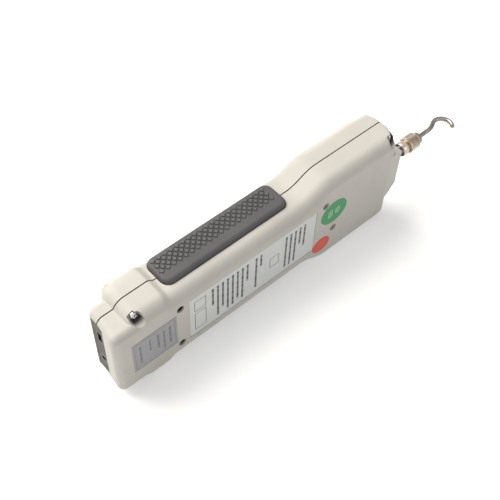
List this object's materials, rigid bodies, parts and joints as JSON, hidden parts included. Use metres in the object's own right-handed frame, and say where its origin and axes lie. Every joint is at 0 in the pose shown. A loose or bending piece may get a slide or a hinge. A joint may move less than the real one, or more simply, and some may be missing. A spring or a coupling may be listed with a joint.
{
  "type": "force gauge",
  "caption": "Hand-held digital push-pull force gauge: two-shell plastic case with ribbed grips, display, keys, S-beam load cell, and a shaft with a screw-on hook.",
  "frame": {"origin": "where the measuring axis leaves the nose face", "axes": "+X along the measuring axis towards the hook, +Z across the width of the case, -Y out of the labelled rear face; the gauge lies on its narrow side, -Z down"},
  "size_m": [0.2571, 0.0372, 0.066],
  "materials": {
    "battery_cells": "plastic sleeve",
    "battery_tray": "moulded",
    "board_screws": "cross recess",
    "bracket_screws": "cross recess",
    "buzzer": "moulded",
    "case_screws": "cross recess",
    "data_socket": "moulded",
    "display_module": "liquid crystal display",
    "display_window": "clear window",
    "end_panel": "moulded",
    "front_shell": "moulded, lightly textured",
    "green_sticker": "plain paper sticker",
    "hook": "nickel-plated wire",
    "hook_collar": "nickel plated, knurled",
    "key_switches": "moulded",
    "light_key": "moulded, blank",
    "load_cell": "machined",
    "load_cell_bracket": "bent and zinc plated",
    "load_cell_screws": "hexagon socket",
    "lower_grip_pad": "moulded rubber, diamond pattern",
    "main_board": "solder mask",
    "measuring_shaft": "turned, threaded at its outer end",
    "memory_key": "moulded, blank",
    "nose_ring": "turned",
    "peak_key": "moulded, blank",
    "power_jack": "moulded",
    "power_key": "moulded, blank",
    "processor": "moulded",
    "rating_label": "printed film with plain rules",
    "rear_shell": "moulded, lightly textured",
    "red_sticker": "plain paper sticker",
    "spec_label": "printed film with plain rules",
    "tail_inserts": "knurled and threaded",
    "unit_key": "moulded, blank",
    "upper_grip_pad": "moulded rubber, diamond pattern",
    "zero_key": "moulded, blank"
  },
  "bodies": {
    "case": {"battery_cells": "battery_cells", "battery_tray": "battery_tray", "board_screws": "board_screws", "bracket_screws": "bracket_screws", "buzzer": "buzzer", "case_screws": "case_screws", "data_socket": "data_socket", "display_module": "display_module", "display_window": "display_window", "end_panel": "end_panel", "front_shell": "front_shell", "green_sticker": "green_sticker", "key_switches": "key_switches", "load_cell": "load_cell", "load_cell_bracket": "load_cell_bracket", "load_cell_screws": "load_cell_screws", "lower_grip_pad": "lower_grip_pad", "main_board": "main_board", "nose_ring": "nose_ring", "power_jack": "power_jack", "processor": "processor", "rating_label": "rating_label", "rear_shell": "rear_shell", "red_sticker": "red_sticker", "spec_label": "spec_label", "tail_inserts": "tail_inserts", "upper_grip_pad": "upper_grip_pad"},
    "shaft": {"measuring_shaft": "measuring_shaft"},
    "hook": {"hook_collar": "hook_collar", "hook": "hook"},
    "power_key": {"power_key": "power_key"},
    "light_key": {"light_key": "light_key"},
    "unit_key": {"unit_key": "unit_key"},
    "peak_key": {"peak_key": "peak_key"},
    "zero_key": {"zero_key": "zero_key"},
    "memory_key": {"memory_key": "memory_key"}
  },
  "joints": [
    {"name": "measuring_slide", "type": "slide", "parent": "case", "child": "shaft", "axis": [1, 0, 0], "range_m": [-0.00025, 0.00025], "stiffness_N_per_m": 2000},
    {"name": "hook_turn", "type": "hinge", "parent": "shaft", "child": "hook", "pos_m": [0, 0, 0], "axis": [1, 0, 0], "continuous": true},
    {"name": "power_key_press", "type": "slide", "parent": "case", "child": "power_key", "axis": [0, -1, 0], "range_m": [0, 0.0005], "stiffness_N_per_m": 200},
    {"name": "light_key_press", "type": "slide", "parent": "case", "child": "light_key", "axis": [0, -1, 0], "range_m": [0, 0.0005], "stiffness_N_per_m": 200},
    {"name": "unit_key_press", "type": "slide", "parent": "case", "child": "unit_key", "axis": [0, -1, 0], "range_m": [0, 0.0005], "stiffness_N_per_m": 200},
    {"name": "peak_key_press", "type": "slide", "parent": "case", "child": "peak_key", "axis": [0, -1, 0], "range_m": [0, 0.0005], "stiffness_N_per_m": 200},
    {"name": "zero_key_press", "type": "slide", "parent": "case", "child": "zero_key", "axis": [0, -1, 0], "range_m": [0, 0.0005], "stiffness_N_per_m": 200},
    {"name": "memory_key_press", "type": "slide", "parent": "case", "child": "memory_key", "axis": [0, -1, 0], "range_m": [0, 0.0005], "stiffness_N_per_m": 200}
  ]
}
